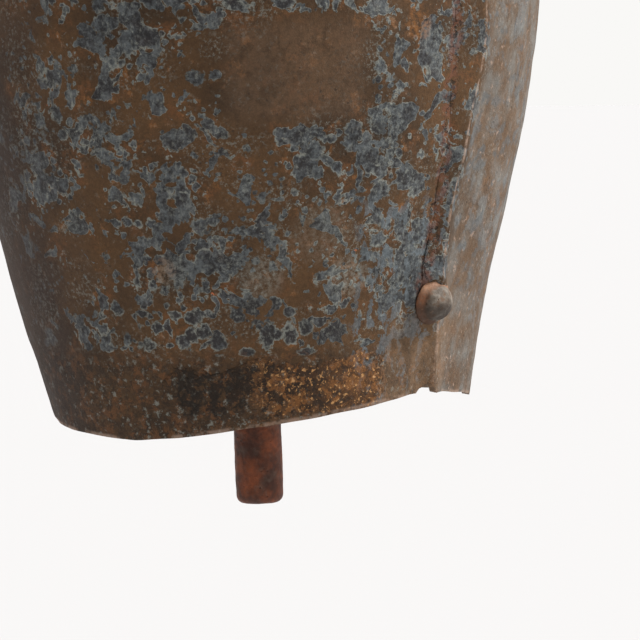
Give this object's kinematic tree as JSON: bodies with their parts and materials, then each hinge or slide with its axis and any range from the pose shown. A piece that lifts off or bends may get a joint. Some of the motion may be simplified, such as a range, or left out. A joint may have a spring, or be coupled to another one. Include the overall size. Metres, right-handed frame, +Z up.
{
  "type": "sheet iron hanging bell",
  "caption": "Hand-forged sheet iron bell, widest at the belly, with lapped riveted seams, a strap loop on top and a rod clapper that hangs below the rim.",
  "frame": {"origin": "centre of the hanging eye, on its axis, in the middle of the strap's width", "axes": "+Z up along the bell's axis; +X along the hanging eye's axis, towards the seam whose rim is nicked; -Y is the front sheet, and +Y the rear sheet, which laps over the front sheet at both seams"},
  "size_m": [0.1438, 0.1336, 0.2218],
  "materials": {
    "front_sheet": "brown rust patina with grey scale patches, matt",
    "rear_sheet": "brown rust patina with grey scale patches, matt",
    "seam_rivet_iron": "hammered iron, grey-brown patina",
    "strap_iron": "forged flat iron, dark patina",
    "strap_rivet_iron": "hammered iron, grey-brown patina",
    "rove_iron": "iron washer, rusty",
    "washer_iron": "iron washer, rusty",
    "pin_iron": "forged round iron, rusty and rubbed at the eye",
    "clapper_iron": "forged round iron, red-brown rust"
  },
  "bodies": {
    "shell": {"front_shell": "front_sheet", "rear_shell": "rear_sheet", "right_seam_rivet_low": "seam_rivet_iron", "right_seam_rivet_middle": "seam_rivet_iron", "right_seam_rivet_top": "seam_rivet_iron", "left_seam_rivet_low": "seam_rivet_iron", "left_seam_rivet_middle": "seam_rivet_iron", "left_seam_rivet_top": "seam_rivet_iron", "hanging_strap": "strap_iron", "front_strap_rivet_inner": "strap_rivet_iron", "front_strap_rivet_outer": "strap_rivet_iron", "rear_strap_rivet_inner": "strap_rivet_iron", "rear_strap_rivet_outer": "strap_rivet_iron", "front_rove_inner": "rove_iron", "front_rove_outer": "rove_iron", "rear_rove_inner": "rove_iron", "rear_rove_outer": "rove_iron", "crown_washer": "washer_iron", "inside_washer": "washer_iron"},
    "eye_pin": {"clapper_eye_pin": "pin_iron"},
    "clapper": {"clapper": "clapper_iron"}
  },
  "joints": [
    {"name": "eye_pin_swivel", "type": "hinge", "parent": "shell", "child": "eye_pin", "pos_m": [0, 0, -0.02399], "axis": [0, 0, 1], "continuous": true},
    {"name": "clapper_swing", "type": "hinge", "parent": "eye_pin", "child": "clapper", "pos_m": [0, 0, -0.04692], "axis": [1, 0, 0], "range_deg": [-15.7, 15.7]}
  ]
}
